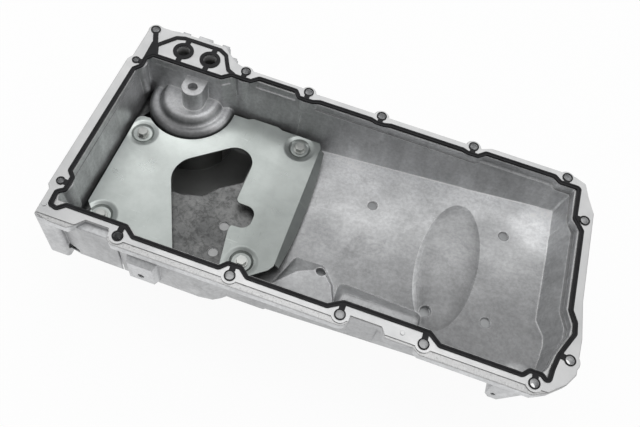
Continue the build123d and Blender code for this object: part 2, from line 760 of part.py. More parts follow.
def gasket_rivet(place):
    """Small rivet that keeps the gasket on the flange."""
    rivet = post(place, rivet_r - valve_gap, carrier_t, -rivet_length)
    head = post(place, rivet_head_r, carrier_t + rivet_head_h, carrier_t)
    return rivet + fillet(head.edges().sort_by(Axis.Z)[-1:], rivet_head_h * 0.6)


def cutout_outline():
    """The opening in the baffle for the pickup tube, open at the near edge."""
    points = [
        (51.6, 5), (-4.8, 127), (81.5, rail_gap - 44.5), (81.5, 107), (106.5, 107), (106.5, 79), (86.5, 78),
        (86.5, 70), (97, 5),
    ]
    return make_face(FilletPolyline(*points, radius=[0, 30, 20, 6, 11, 11, 3, 2, 0], close=True))


def sump_baffle():
    """Pressed steel plate over the sump, with a sloping lip at its front."""
    far = rail_gap
    bend = baffle_bend_x
    points = [
        (-57, 22), (2, 22), (14, 13), (112, 13), (bend - 19, 30), (bend - 4, 42), (bend, 49),
        (bend, far - 30),
        (bend - 3, far - 24.5), (97, far - 24), (91, far - 21.5), (60, far - 21.5), (54, far - 24.5),
        (33, far - 24.5), (33, far - 37), (-16, far - 67), (-50, far - 67), (-66, far - 67), (-66, 49),
        (-57, 40),
    ]
    corners = [4, 4, 4, 4, 6, 2, 1, 1, 1, 3, 3, 3, 3, 2, 2, 0, 0, 8, 3, 3]
    sheet = make_face(FilletPolyline(*points, radius=corners, close=True))
    sheet -= Pos(*filter_centre) * Circle(dome_r + dome_clearance)
    sheet -= cutout_outline()
    plate = extrude(Pos(0, 0, -baffle_depth) * sheet, amount=-baffle_t)
    drop = baffle_lip_drop
    lip = [
        (bend - 2, -baffle_depth), (bend, -baffle_depth), (bend + baffle_lip_run, -baffle_depth - drop),
        (bend + baffle_lip_run - 1.2, -baffle_depth - drop - 1), (bend - 1, -baffle_depth - baffle_t),
        (bend - 2, -baffle_depth - baffle_t),
    ]
    edge = ThreePointArc((bend + 4.5, 49), (bend + baffle_lip_run, far / 2 + 7.5), (bend + 5, far - 30))
    side = Polyline(edge @ 1, (bend - 10, far - 30), (bend - 10, 49), edge @ 0)
    reach = extrude(Pos(0, 0, -baffle_depth - 3 * drop) * make_face(edge + side), amount=4 * drop)
    plate += upright_plate(lip, 51, far - 32) & reach
    for place in baffle_bolts:
        level = -baffle_depth - emboss_depth
        middle = (-baffle_depth + level) / 2
        dish = Pos(place[0], place[1], middle) * Cone(emboss_r - emboss_slope, emboss_r, emboss_depth)
        plate += Pos(0, 0, -baffle_t) * dish
        plate -= dish
        plate -= post(place, m6_r + m6_clearance, level + 1, level - baffle_t - 1)
    return plate


def hex_bolt(length):
    """Flanged hexagon bolt with the underside of its flange at the origin."""
    bolt = post((0, 0), m6_washer_r, m6_washer_t, 0)
    hexagon = RegularPolygon(m6_head_af / 2, 6, major_radius=False)
    bolt += Pos(0, 0, m6_washer_t) * extrude(hexagon, amount=m6_head_h)
    bolt += post((0, 0), m6_r - thread_gap, 0, -length)
    return chamfer(bolt.edges().sort_by(Axis.Z)[:1], m6_chamfer)


def baffle_bolt(place):
    """A baffle bolt in its seat."""
    return Pos(place[0], place[1], -baffle_depth - emboss_depth) * hex_bolt(m6_length)


def drain_plane(distance):
    """Plane across the drain axis, measured outwards from the boss face."""
    face_y = well_near_y - wall_t - drain_boss_h
    return Plane(origin=(drain_x, face_y - distance, drain_level), x_dir=(1, 0, 0), z_dir=(0, -1, 0))


def drain_plug():
    """Drain plug with a flange and a hexagon head."""
    plug = extrude(drain_plane(drain_seal_t) * Circle(drain_flange_r), amount=drain_flange_t)
    hexagon = RegularPolygon(drain_plug_af / 2, 6, major_radius=False)
    plug += extrude(drain_plane(drain_seal_t + drain_flange_t) * hexagon, amount=drain_hex_h)
    plug += extrude(drain_plane(drain_seal_t) * Circle(drain_r - thread_gap), amount=-drain_grip)
    return plug


def drain_plug_seal():
    """Bonded ring under the flange of the plug."""
    ring = Circle(drain_flange_r) - Circle(drain_r + thread_gap)
    return extrude(drain_plane(0) * ring, amount=drain_seal_t)


def filter_nipple():
    """Threaded tube that the oil filter screws onto."""
    top = -head_face_depth + nipple_grip
    tube = post(filter_centre, nipple_r, top, -head_face_depth - nipple_stickout)
    tube -= post(filter_centre, nipple_bore_r, top + 1, -head_face_depth - nipple_stickout - 1)
    tube = chamfer(tube.edges().sort_by(Axis.Z)[:2].sort_by(SortBy.LENGTH)[-1:], nipple_chamfer)
    relief = Circle(nipple_r + 1) - Circle(nipple_relief_r)
    place = Pos(*filter_centre, -head_face_depth - nipple_relief_w)
    return tube - extrude(place * relief, amount=nipple_relief_w)


def bypass_body():
    """Pressed-in cage of the filter bypass valve."""
    place = valve_place()
    low = valve_top - valve_height
    body = post(place, valve_body_r - valve_gap, valve_top, low)
    body -= post(place, valve_body_r - valve_wall, valve_top - valve_top_t, low - 1)
    return body - post(place, valve_seat_r, valve_top + 1, valve_top - valve_top_t - 1)


def bypass_plate():
    """Disc that lifts off its seat when the filter is blocked."""
    top = valve_top - valve_top_t - valve_plate_gap
    return post(valve_place(), valve_plate_r, top, top - valve_plate_t)


def bypass_retainer():
    """Ring that holds the spring in the cage."""
    place = valve_place()
    low = valve_top - valve_height
    ring = post(place, valve_body_r - valve_wall, low + valve_retainer_t, low)
    return ring - post(place, valve_lip_r, low + 2, low - 1)


def bypass_spring():
    """Coil spring under the disc."""
    top = valve_top - valve_top_t - valve_plate_gap - valve_plate_t - spring_wire_r
    low = valve_top - valve_height + valve_retainer_t + spring_wire_r
    pitch = (top - low) / spring_turns
    line = Helix(pitch, top - low, spring_r)
    start = Plane(origin=line @ 0, z_dir=line % 0)
    coil = sweep(start * Circle(spring_wire_r), path=line)
    place = valve_place()
    return Pos(place[0], place[1], low) * coil


def cover_plane(distance):
    """Plane of the gallery cover, measured outwards from its pad."""
    x = (port_inlet[0] + port_outlet[0]) / 2
    y = port_inlet[1] + port_boss_r + cover_pad_t + distance
    return Plane(origin=(x, y, -cover_level), x_dir=(-1, 0, 0), z_dir=(0, 1, 0))


def cover_window():
    """Outline of the raised middle of the cover and of the space behind it."""
    return RectangleRounded(cover_window_w, cover_window_h, cover_window_r)


def cover_shape():
    """Outline of the gallery cover with its two bolt holes."""
    shape = Sketch() + RectangleRounded(cover_w, cover_h, cover_corner_r)
    for side in (-1, 1):
        shape -= Pos(side * cover_bolt_spacing / 2, 0) * Circle(m6_r + m6_clearance)
    return shape


def gallery_cover():
    """Cover over the oil gallery beside the filter."""
    cover = extrude(cover_plane(cover_gasket_t) * cover_shape(), amount=cover_t)
    return cover + extrude(cover_plane(cover_gasket_t + cover_t) * cover_window(), amount=cover_rise)


def gallery_cover_gasket():
    """Flat gasket under the cover."""
    return extrude(cover_plane(0) * (cover_shape() - cover_window()), amount=cover_gasket_t)


def cover_bolt(side):
    """One of the two cover bolts."""
    plane = cover_plane(cover_gasket_t + cover_t)
    length = cover_gasket_t + cover_t + cover_bolt_grip
    return plane.location * Pos(side * cover_bolt_spacing / 2, 0, 0) * hex_bolt(length)


def all_pieces():
    """Every piece by name."""
    pieces = {
        "pan_casting": pan_casting(), "gasket_carrier": gasket_carrier(), "gasket_bead": gasket_bead(),
        "sump_baffle": sump_baffle(), "drain_plug": drain_plug(), "drain_plug_seal": drain_plug_seal(),
        "filter_nipple": filter_nipple(), "bypass_valve_body": bypass_body(),
        "bypass_valve_plate": bypass_plate(), "bypass_valve_retainer": bypass_retainer(),
        "bypass_valve_spring": bypass_spring(), "gallery_cover": gallery_cover(),
        "gallery_cover_gasket": gallery_cover_gasket(),
    }
    for number, place in enumerate(rivet_places, 1):
        pieces[f"gasket_rivet_{number}"] = gasket_rivet(place)
    for number, place in enumerate(baffle_bolts, 1):
        pieces[f"baffle_bolt_{number}"] = baffle_bolt(place)
    for number, side in enumerate((-1, 1), 1):
        pieces[f"gallery_cover_bolt_{number}"] = cover_bolt(side)
    return pieces


if __name__ == "__main__":
    os.makedirs("parts", exist_ok=True)
    for name, piece in all_pieces().items():
        export_step(origin * piece, f"parts/{name}.step")
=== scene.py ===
"""Looks of the engine oil pan: materials, softened edges, a copy of the valve's spring, light and camera.

+X is the front of the engine, +Y the oil filter's side and +Z up to the block, with Z = 0 at the flange face.
"""
import json
import math

import bmesh
import bpy
from mathutils import Matrix, Vector

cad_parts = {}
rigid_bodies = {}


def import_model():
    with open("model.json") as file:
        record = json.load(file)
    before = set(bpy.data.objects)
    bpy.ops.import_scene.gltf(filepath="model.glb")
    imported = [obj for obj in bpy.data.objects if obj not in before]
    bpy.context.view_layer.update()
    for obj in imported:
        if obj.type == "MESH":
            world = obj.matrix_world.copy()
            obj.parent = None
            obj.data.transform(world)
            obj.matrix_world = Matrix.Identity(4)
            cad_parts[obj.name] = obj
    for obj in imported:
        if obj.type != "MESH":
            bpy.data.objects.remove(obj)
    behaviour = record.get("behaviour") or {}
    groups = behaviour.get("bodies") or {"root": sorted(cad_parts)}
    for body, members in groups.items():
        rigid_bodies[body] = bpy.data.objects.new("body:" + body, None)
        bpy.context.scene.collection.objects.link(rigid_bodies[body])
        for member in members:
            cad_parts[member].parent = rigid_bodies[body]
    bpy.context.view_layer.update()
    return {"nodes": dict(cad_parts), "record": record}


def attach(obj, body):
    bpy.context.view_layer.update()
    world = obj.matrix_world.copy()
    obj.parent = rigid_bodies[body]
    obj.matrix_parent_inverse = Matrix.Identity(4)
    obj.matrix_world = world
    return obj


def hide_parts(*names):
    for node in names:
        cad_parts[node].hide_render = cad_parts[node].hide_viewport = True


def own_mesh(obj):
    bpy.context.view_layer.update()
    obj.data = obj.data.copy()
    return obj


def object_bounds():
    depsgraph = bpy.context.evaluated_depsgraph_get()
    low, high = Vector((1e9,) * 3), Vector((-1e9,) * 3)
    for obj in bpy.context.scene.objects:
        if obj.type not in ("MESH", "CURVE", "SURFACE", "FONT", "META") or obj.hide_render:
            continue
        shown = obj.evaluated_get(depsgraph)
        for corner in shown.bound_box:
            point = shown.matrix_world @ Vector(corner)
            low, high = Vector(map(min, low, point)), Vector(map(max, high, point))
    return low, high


MM = 0.001


def band(start, end):
    """Two lengths from millimetres, between which a smooth step runs."""
    return start * MM, end * MM


# The camera, fitted to the bolt holes in the photograph.
CAMERA_PLACE = Vector((-54.5, -374.7, 614.5)) * MM
CAMERA_AZIMUTH = math.radians(-8.345)
CAMERA_ELEVATION = math.radians(59.79)
CAMERA_ROLL = math.radians(11.705)
CAMERA_NEAR = 10 * MM
SENSOR_WIDTH = 36.0
FOCAL_PIXELS = 692.4
PICTURE_WIDTH = 640
PICTURE_HEIGHT = 427
PRINCIPAL_POINT = (306.3, 206.6)

JOIN_DISTANCE = 0.002 * MM
FLAT_ANGLE = math.radians(0.4)
SMOOTH_ANGLE = math.radians(32)
SOFTENED_ANGLE = math.radians(35)
# The width and the segments of rounded edges.
SOFTENED = {"gasket_bead": (0.8 * MM, 3), "gasket_carrier": (0.25 * MM, 2), "sump_baffle": (0.4 * MM, 2)}
FASTENER_EDGE = (0.3 * MM, 2)

# A step is 0 at its first value and 1 at its second. These run along Z.
FLANGE_FACE = band(-0.6, -0.2)
PORT_RIM = band(-0.5, -1)
LEDGE_TOP = band(-3, -5)
PORT_DEPTH = band(-4, -10)
DOME_SHADED = band(-10, -16)
LOWER_CORNERS = band(-18, -26)
PORT_END = band(-30, -28)
LEDGE_FOOT = band(-33, -31)
TRAY = band(-34, -38)
SHELF = band(-56, -62)
BELOW_SHELF = band(-66, -74)

# Along Y, where the step of the tray's painted shade and oil is tilted toward X, and the dome's is counted
# from its centre.
SIDE_PAD = band(-127.5, -130)
NEAR_WALL = band(-113, -110)
FAR_WALL = band(112, 109)
FAR_FOOT = band(48, 96)
TRAY_OIL_AND_SHADE = band(110, -120)
OIL_AND_SHADE_SLANT = -0.22
OIL_AND_SHADE_RIPPLE = 60 * MM
DOME_NEAR_SIDE = band(-16, -40)

# Along X, and for the baffle's painted shade along Y less X.
SHELF_FRONT = band(-130, -160)
BAFFLE_STRIP = band(-168, -150)
BAFFLE_SHADE_SLOPE = band(330, 50)

# Round spots seen from above: the radius where they are still full, and the one where they are gone.
PORT_SPOT = band(7.8, 8.3)
MARK_SPOT = band(5.7, 6.042)
DOME_SPOT = band(50, 54)
DOME_GLINT = band(58, 84)
DOME_BEND = band(55, 100)
BOLT_PAD = band(10, 19)

# The upward part of a face's normal, and the dot product of its rounded normal and its true one.
UPWARD = (0.8, 0.95)
CORNER_RADIUS = 3 * MM
CORNER_TURN = (0.99, 0.88)

# Points in the pan and in its deep sump, which the faces inside look toward.
PAN_CENTRE = (-50 * MM, 0.0, 0.0)
SUMP_CENTRE = (-265 * MM, 0.0, -30 * MM)
DOME_CENTRE = (-283.15 * MM, 93 * MM)
PORTS = [(-303.25 * MM, 120.6 * MM), (-270.65 * MM, 120.6 * MM)]
TRAY_MARKS = [
    (-41.15 * MM, 44 * MM), (106.85 * MM, 51 * MM), (106.85 * MM, -57 * MM), (44.85 * MM, -65 * MM),
    (-71.15 * MM, -59 * MM),
]
SHELF_MARKS = [(-188.65 * MM, -41 * MM), (-188.15 * MM, -74.5 * MM)]
# The centre of each painted glint on the tray, its radii and its light.
TRAY_GLINTS = [
    ((146 * MM, -106 * MM), band(10, 20), 1.7),
    ((145 * MM, 72 * MM), band(21, 42), 1.3),
    ((-77 * MM, -84 * MM), band(21, 42), 1.5),
]

# Factors that paint light and shade into the casting's and the baffle's colour.
FAR_FOOT_LIGHT = 1.38
DOME_SHADE = 0.36
SIDE_PAD_LIGHT = 1.35
CORNER_LIGHT = 1.85
LEDGE_SHADE = 0.42
DOME_GLINT_LIGHT = 1.30
BAFFLE_STRIP_SHADE = 0.84

BRIGHTEST_SKIN = 0.95
MACHINED_ROUGHNESS = 0.36
# Painted light: the deep sump's grey is set lighter than the shelf's.
GREY_BELOW_SHELF = (0.30, 0.303, 0.30, 1)
# Colours of the marks: painted shade for the tray's, painted light for the shelf's.
TRAY_MARK_SHADE = (0.30, 0.305, 0.31, 1)
SHELF_MARK_LIGHT = (0.36, 0.363, 0.363, 1)

WORLD_LOW = 0.45
WORLD_HIGH = 0.85
WORLD_BRIGHT_WAY = (0.0, 0.85, 0.5)
WORLD_FADE = (0.0, 0.95)
FLOOR_SIZE = 24
FLOOR_CUTS = 4
FLOOR_TONE = 0.93
# How much of the floor in view is plain white. The rest shows the object's shadow.
FLOOR_WHITE = 0.93
LAMP_TARGET = Vector((0, 0, 0))
# The name, place, size and power of each lamp.
LAMPS = [
    ("far_window", (-0.2, 1.3, 1.5), (2.4, 0.8), 3.5),
    ("overhead", (0.0, 0.25, 1.7), (1.6, 0.7), 4.5),
    ("left", (-1.5, -0.1, 0.9), (0.9, 0.6), 4.0),
    ("right", (1.5, 0.0, 0.8), (0.9, 0.5), 2.0),
]


def grey(value):
    """A grey as a colour."""
    return value, value, value, 1


class Tree:
    """A material's node tree, with short calls for the nodes used here."""

    def __init__(self, name):
        self.material = bpy.data.materials.new(name)
        self.material.use_nodes = True
        self.nodes = self.material.node_tree.nodes
        self.links = self.material.node_tree.links
        self.shader = self.nodes["Principled BSDF"]
        self.place = self.nodes.new("ShaderNodeTexCoord").outputs["Object"]

    def put(self, value, socket):
        """Link an output to a socket, or set the socket's own value."""
        if hasattr(value, "is_output"):
            self.links.new(value, socket)
        else:
            socket.default_value = value

    def stretched(self, scale):
        """Coordinates with a scale for each axis."""
        node = self.nodes.new("ShaderNodeMapping")
        node.inputs["Scale"].default_value = scale
        self.links.new(self.place, node.inputs["Vector"])
        return node.outputs["Vector"]

    def noise(self, scale, detail=4.0, roughness=0.55, where=None, distortion=0.0):
        """Noise from 0 to 1."""
        node = self.nodes.new("ShaderNodeTexNoise")
        node.inputs["Scale"].default_value = scale
        node.inputs["Detail"].default_value = detail
        node.inputs["Roughness"].default_value = roughness
        node.inputs["Distortion"].default_value = distortion
        self.links.new(where or self.place, node.inputs["Vector"])
        return node.outputs["Fac"]

    def ramp(self, factor, stops):
        """Colour ramp through (position, grey or colour) stops."""
        node = self.nodes.new("ShaderNodeValToRGB")
        elements = node.color_ramp.elements
        while len(elements) < len(stops):
            elements.new(0.5)
        for element, (position, colour) in zip(elements, stops):
            element.position = position
            element.color = colour if isinstance(colour, tuple) else grey(colour)
        self.links.new(factor, node.inputs["Fac"])
        return node.outputs["Color"]

    def mix(self, factor, first, second, blend="MIX"):
        """Mix two colours."""
        node = self.nodes.new("ShaderNodeMix")
        node.data_type = "RGBA"
        node.blend_type = blend
        self.put(factor, node.inputs[0])
        self.put(first, node.inputs[6])
        self.put(second, node.inputs[7])
        return node.outputs[2]

    def toned(self, colour, tone):
        """A colour multiplied by a tone."""
        return self.mix(1.0, colour, tone, "MULTIPLY")

    def lit(self, colour, mask, light):
        """A colour multiplied by a light where the mask is 1, and left as it is where the mask is 0."""
        return self.toned(colour, self.ramp(mask, [(0.0, 1.0), (1.0, light)]))

    def maths(self, operation, first, second=0.0, clamp=False):
        """Arithmetic on values."""
        node = self.nodes.new("ShaderNodeMath")
        node.operation = operation
        node.use_clamp = clamp
        self.put(first, node.inputs[0])
        self.put(second, node.inputs[1])
        return node.outputs[0]

    def times(self, first, *others):
        """The product of values."""
        for other in others:
            first = self.maths("MULTIPLY", first, other)
        return first

    def plus(self, first, second):
        """The sum of two values."""
        return self.maths("ADD", first, second)

    def part(self, vector, axis):
        """One coordinate of a vector."""
        node = self.nodes.new("ShaderNodeSeparateXYZ")
        self.links.new(vector, node.inputs[0])
        return node.outputs[axis]

    def vector_maths(self, operation, first, second):
        """The outputs of an operation on two vectors."""
        node = self.nodes.new("ShaderNodeVectorMath")
        node.operation = operation
        self.put(first, node.inputs[0])
        self.put(second, node.inputs[1])
        return node.outputs

    def between(self, value, low, high):
        """Smooth step from 0 at low to 1 at high, where low may be the greater one."""
        node = self.nodes.new("ShaderNodeMapRange")
        node.interpolation_type = "SMOOTHSTEP"
        node.inputs["From Min"].default_value = low
        node.inputs["From Max"].default_value = high
        self.links.new(value, node.inputs["Value"])
        return node.outputs["Result"]

    def true_normal(self):
        """The surface's own normal, without bumps."""
        return self.nodes.new("ShaderNodeNewGeometry").outputs["True Normal"]

    def facing_up(self, low, high):
        """How far the surface faces up."""
        return self.between(self.part(self.true_normal(), "Z"), low, high)

    def facing(self, centre):
        """1 where the surface faces a point, 0 where it faces away from it."""
        toward = self.vector_maths("SUBTRACT", centre, self.place)["Vector"]
        turn = self.vector_maths("DOT_PRODUCT", self.true_normal(), toward)["Value"]
        return self.between(turn, 0.0, 1 * MM)

    def bump(self, height, distance, strength=1.0, normal=None):
        """Bump from a height, in metres."""
        node = self.nodes.new("ShaderNodeBump")
        node.inputs["Distance"].default_value = distance
        node.inputs["Strength"].default_value = strength
        self.links.new(height, node.inputs["Height"])
        if normal is not None:
            self.links.new(normal, node.inputs["Normal"])
        return node.outputs["Normal"]

    def soft_edges(self, radius):
        """Normals that round off sharp edges."""
        node = self.nodes.new("ShaderNodeBevel")
        node.samples = 4
        node.inputs["Radius"].default_value = radius
        return node.outputs["Normal"]

    def edges(self, radius, low, high):
        """1 along edges and in corners, where the rounded and the true normal differ."""
        match = self.vector_maths("DOT_PRODUCT", self.true_normal(), self.soft_edges(radius))["Value"]
        return self.between(match, low, high)

    def shader_mix(self, factor, first, second):
        """Mix two shaders."""
        node = self.nodes.new("ShaderNodeMixShader")
        for value, socket in zip((factor, first, second), node.inputs):
            self.links.new(value, socket)
        return node.outputs["Shader"]

    def finish(self, colour, roughness, metallic, normal=None):
        """Plug the results into the shader."""
        self.put(colour, self.shader.inputs["Base Color"])
        self.put(roughness, self.shader.inputs["Roughness"])
        self.shader.inputs["Metallic"].default_value = metallic
        if normal is not None:
            self.links.new(normal, self.shader.inputs["Normal"])
        return self.material


def round_spot(tree, place, inner, outer):
    """1 inside a circle seen from above, falling to 0 at its outer radius, in metres."""
    x = tree.maths("SUBTRACT", tree.part(tree.place, "X"), place[0])
    y = tree.maths("SUBTRACT", tree.part(tree.place, "Y"), place[1])
    distance = tree.maths("SQRT", tree.plus(tree.times(x, x), tree.times(y, y)))
    return tree.between(distance, outer, inner)


def spots(tree, places, inner, outer):
    """The union of several round spots."""
    total = 0.0
    for place in places:
        total = tree.maths("ADD", total, round_spot(tree, place, inner, outer), True)
    return total


def scratches(tree):
    """Short fine scratches in two directions, as a factor near 1."""
    factor = grey(1)
    for scale, light in (((34, 420, 34), 1.16), ((380, 52, 34), 0.86)):
        lines = tree.noise(1.6, 2, 0.5, tree.stretched(scale), 0.4)
        gate = tree.between(tree.noise(22, 3, 0.6), 0.52, 0.62)
        line = tree.times(tree.between(lines, 0.66, 0.71), gate)
        factor = tree.mix(line, factor, tree.toned(factor, grey(light)))
    return factor


def casting_skin(tree, up, interior):
    """Bare skin with blotches, wiped marks on faces that look up, streaks down the others, and stains. The
    streaks are partly marks and partly painted reflection bands, lighter inside the pan as painted light and
    darker outside as painted shade.
    """
    dark, bright = (0.47, 0.475, 0.482, 1), (0.62, 0.625, 0.632, 1)
    blotches = tree.ramp(tree.noise(14, 6, 0.6), [(0.32, dark), (0.7, bright)])
    skin = tree.toned(blotches, tree.ramp(tree.noise(260, 3, 0.7), [(0.4, 0.9), (0.6, 1.05)]))
    wiped = tree.ramp(tree.noise(8, 8, 0.7, tree.stretched((7, 24, 20)), 0.8), [(0.40, 0.965), (0.60, 1.035)])
    wiped = tree.toned(wiped, scratches(tree))
    skin = tree.mix(up, skin, tree.toned(skin, wiped))
    # Streaks: partly marks, partly painted reflection bands; painted light on inner walls, painted shade on
    # outer ones.
    streaks_and_reflections = tree.noise(5, 5, 0.6, tree.stretched((16, 16, 3)), 0.5)
    inner_light = tree.ramp(streaks_and_reflections, [(0.3, 0.95), (0.7, 1.22)])
    outer_shade = tree.ramp(streaks_and_reflections, [(0.3, 0.86), (0.7, 0.96)])
    skin = tree.mix(up, tree.toned(skin, tree.mix(interior, outer_shade, inner_light)), skin)
    stain = tree.ramp(tree.noise(30, 5, 0.7, None, 1.2), [(0.3, 0.80), (0.42, 1.0)])
    return tree.mix(0.8, skin, stain, "MULTIPLY")


def oily_shaded_tray(tree, skin, x, y):
    """The tray's floor: painted shade and oil darker toward the near side, painted light at the far end, a
    painted highlight at the far wall's foot and painted glints in spots.
    """
    ripple = tree.times(tree.maths("SUBTRACT", tree.noise(16, 5, 0.6), 0.5), OIL_AND_SHADE_RIPPLE)
    slanted = tree.plus(y, tree.times(x, OIL_AND_SHADE_SLANT))
    oil_and_shade = tree.between(tree.plus(slanted, ripple), *TRAY_OIL_AND_SHADE)
    # Painted light at the far end and painted shade with oil toward the near side.
    tone = tree.ramp(oil_and_shade, [(0.0, 1.18), (0.05, 1.12), (0.28, 0.80), (0.47, 0.68), (0.78, 0.52), (1.0, 0.40)])
    skin = tree.toned(skin, tone)
    # Painted highlight along the far wall's foot.
    skin = tree.lit(skin, tree.between(tree.plus(y, ripple), *FAR_FOOT), FAR_FOOT_LIGHT)
    # Painted glints on the tray.
    for place, fade, light in TRAY_GLINTS:
        skin = tree.lit(skin, round_spot(tree, place, *fade), light)
    return skin


def relief_light_and_shade(tree, skin, y, z, up, inside, interior):
    """Painted light and shade: a painted shadow on the dome's near side, painted light on the side pad,
    painted highlights in the lower inner corners and painted shade on the ledges of the walls.
    """
    dome = round_spot(tree, DOME_CENTRE, *DOME_SPOT)
    near_side = [DOME_CENTRE[1] + edge for edge in DOME_NEAR_SIDE]
    shadow = tree.times(dome, tree.between(z, *DOME_SHADED), tree.between(y, *near_side))
    skin = tree.lit(skin, shadow, DOME_SHADE)
    skin = tree.lit(skin, tree.between(y, *SIDE_PAD), SIDE_PAD_LIGHT)
    # Painted highlights in the lower inner corners.
    corner = tree.times(tree.edges(CORNER_RADIUS, *CORNER_TURN), tree.between(z, *LOWER_CORNERS), interior)
    skin = tree.lit(skin, corner, CORNER_LIGHT)
    # Painted shade on the ledges of the walls.
    shaded_ledges = tree.times(tree.between(z, *LEDGE_TOP), tree.between(z, *LEDGE_FOOT), up, inside)
    shaded_ledges = tree.times(shaded_ledges, tree.maths("SUBTRACT", 1.0, dome))
    skin = tree.lit(skin, shaded_ledges, LEDGE_SHADE)
    return tree.mix(1.0, skin, grey(BRIGHTEST_SKIN), "DARKEN")


def sump_greys(tree, z):
    """Dark mottled grey on the shelf, with drops, and a plainer grey below it, set lighter than the shelf as
    painted light in the deep sump's shade.
    """
    dark, bright = (0.12, 0.122, 0.122, 1), (0.20, 0.202, 0.20, 1)
    shelf_grey = tree.ramp(tree.noise(30, 5, 0.6), [(0.34, dark), (0.66, bright)])
    drops = tree.ramp(tree.noise(150, 6, 0.8, None, 0.4), [(0.42, 0.66), (0.5, 1.0), (0.66, 1.25)])
    below = tree.between(z, *BELOW_SHELF)
    shelf_grey = tree.mix(below, shelf_grey, GREY_BELOW_SHELF)
    return tree.mix(below, tree.toned(shelf_grey, drops), shelf_grey)


def port_light_and_shade(tree, skin, z):
    """The oil ports: a painted highlight at the rim and painted shade farther down."""
    bore = tree.times(spots(tree, PORTS, *PORT_SPOT), tree.between(z, *PORT_RIM), tree.between(z, *PORT_END))
    tone = tree.ramp(tree.between(z, *PORT_DEPTH), [(0.0, 0.95), (1.0, 0.22)])
    return tree.mix(bore, skin, tone)


def cut_face(tree):
    """Machined face with fine lines and nicks."""
    lines = tree.ramp(tree.noise(3, 2, 0.5, tree.stretched((400, 60, 10))), [(0.3, 0.44), (0.7, 0.53)])
    nicks = tree.ramp(tree.noise(420, 3, 0.7), [(0.33, 0.55), (0.42, 1.0)])
    return tree.toned(lines, nicks)


def cast_aluminium():
    """Shiny casting skin with a machined sealing face, a tray with painted light, painted shade and oil, and
    dark greys deep in the sump.
    """
    tree = Tree("cast_aluminium")
    x, y, z = (tree.part(tree.place, axis) for axis in "XYZ")
    up = tree.facing_up(*UPWARD)
    inside = tree.times(tree.between(y, *NEAR_WALL), tree.between(y, *FAR_WALL))
    interior = tree.times(inside, tree.facing(PAN_CENTRE))

    skin = casting_skin(tree, up, interior)
    on_tray = tree.times(tree.between(z, *TRAY), inside, up)
    skin = tree.mix(on_tray, skin, oily_shaded_tray(tree, skin, x, y))
    skin = relief_light_and_shade(tree, skin, y, z, up, inside, interior)
    behind = tree.between(x, *SHELF_FRONT)
    in_sump = tree.times(tree.between(z, *SHELF), inside, behind, tree.facing(SUMP_CENTRE))
    skin = tree.mix(in_sump, skin, sump_greys(tree, z))
    skin = port_light_and_shade(tree, skin, z)
    # Painted shade in the tray marks' recesses and painted light on the shelf's marks.
    for places, tone in ((TRAY_MARKS, TRAY_MARK_SHADE), (SHELF_MARKS, SHELF_MARK_LIGHT)):
        skin = tree.mix(tree.times(spots(tree, places, *MARK_SPOT), up), skin, tone)
    machined = tree.times(tree.between(z, *FLANGE_FACE), up)
    colour = tree.mix(machined, skin, cut_face(tree))

    rough_skin = tree.ramp(tree.noise(40, 4), [(0.3, 0.40), (0.7, 0.56)])
    roughness = tree.mix(machined, rough_skin, grey(MACHINED_ROUGHNESS))
    grain = tree.plus(tree.noise(900, 3, 0.6), tree.times(tree.noise(160, 3), 1.6))
    normal = tree.bump(grain, 0.22 * MM, 0.45, tree.soft_edges(2.0 * MM))
    normal = tree.bump(tree.noise(26, 2, 0.5), 1.2 * MM, 0.5, normal)
    return tree.finish(colour, roughness, 0.94, normal)


def carrier_aluminium():
    """Thin bright sheet with light brushing."""
    tree = Tree("carrier_aluminium")
    colour = tree.ramp(tree.noise(20, 4), [(0.3, (0.49, 0.495, 0.50, 1)), (0.7, (0.58, 0.58, 0.58, 1))])
    lines = tree.noise(4, 3, 0.6, tree.stretched((30, 500, 10)))
    roughness = tree.ramp(tree.noise(60, 3), [(0.3, 0.30), (0.7, 0.42)])
    normal = tree.bump(lines, 0.1 * MM, 0.3, tree.soft_edges(0.3 * MM))
    return tree.finish(colour, roughness, 0.95, normal)


def black_rubber():
    """Satin moulded rubber."""
    tree = Tree("black_rubber")
    colour = tree.ramp(tree.noise(90, 4), [(0.3, (0.006, 0.006, 0.007, 1)), (0.7, (0.014, 0.014, 0.016, 1))])
    roughness = tree.ramp(tree.noise(240, 3), [(0.3, 0.38), (0.7, 0.55)])
    normal = tree.bump(tree.noise(1400, 2), 0.1 * MM, 0.4)
    tree.shader.inputs["Specular IOR Level"].default_value = 0.22
    return tree.finish(colour, roughness, 0.0, normal)


